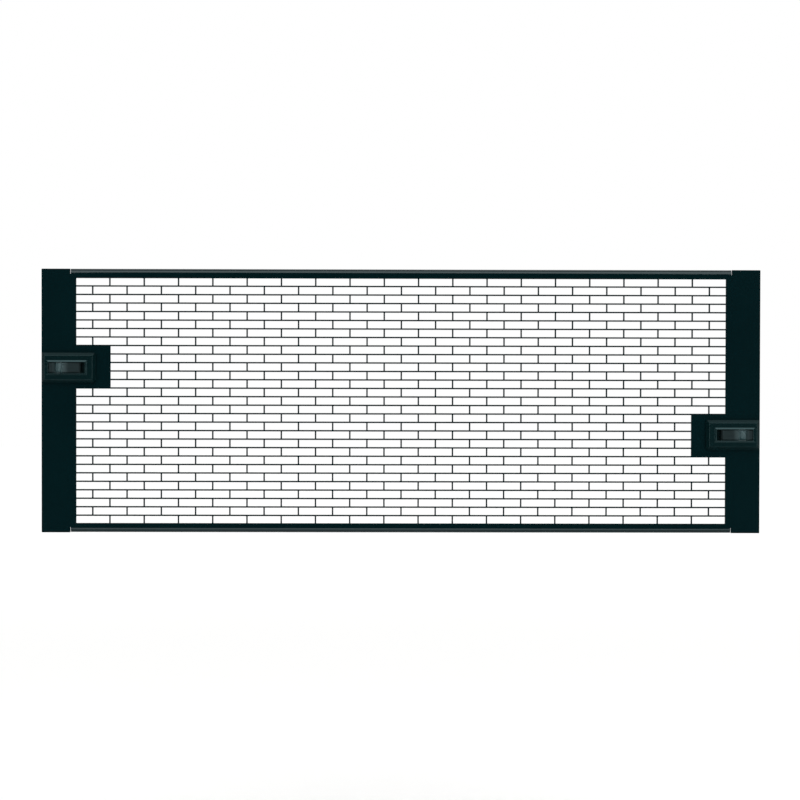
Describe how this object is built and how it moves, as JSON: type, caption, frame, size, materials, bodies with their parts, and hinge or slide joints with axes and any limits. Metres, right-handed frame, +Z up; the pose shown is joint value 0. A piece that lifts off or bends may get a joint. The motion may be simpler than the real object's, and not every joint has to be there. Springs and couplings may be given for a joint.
{
  "type": "rack blanking panel",
  "caption": "Vented sheet-steel blanking panel with brick-pattern slots, folded top and bottom edges, and a sliding spring latch on each side for square-hole rack rails.",
  "frame": {"origin": "middle of the panel's width and height, on the rail plane, which is the rear face of the ears", "axes": "+X to the right seen from the front, +Y into the rack, +Z up"},
  "size_m": [0.4826, 0.0212, 0.177],
  "materials": {
    "powder_coat": "black powder coat, semi-gloss with a faint orange peel",
    "bezel_plastic": "moulded black plastic, fine satin texture",
    "slider_plastic": "moulded black plastic, smooth satin",
    "spring_steel": "bright spring-steel strip"
  },
  "bodies": {
    "frame": {"panel": "powder_coat", "left_latch_bezel": "bezel_plastic", "left_latch_retainer": "bezel_plastic", "left_latch_spring": "spring_steel", "right_latch_bezel": "bezel_plastic", "right_latch_retainer": "bezel_plastic", "right_latch_spring": "spring_steel"},
    "left_slider": {"left_latch_slider": "slider_plastic"},
    "right_slider": {"right_latch_slider": "slider_plastic"}
  },
  "joints": [
    {"name": "left_latch_slide", "type": "slide", "parent": "frame", "child": "left_slider", "axis": [1, 0, 0], "range_m": [0, 0.0035], "stiffness_N_per_m": 400, "springref_m": -0.005, "deforming": ["left_latch_spring"]},
    {"name": "right_latch_slide", "type": "slide", "parent": "frame", "child": "right_slider", "axis": [-1, 0, 0], "range_m": [0, 0.0035], "stiffness_N_per_m": 400, "springref_m": -0.005, "deforming": ["right_latch_spring"]}
  ]
}
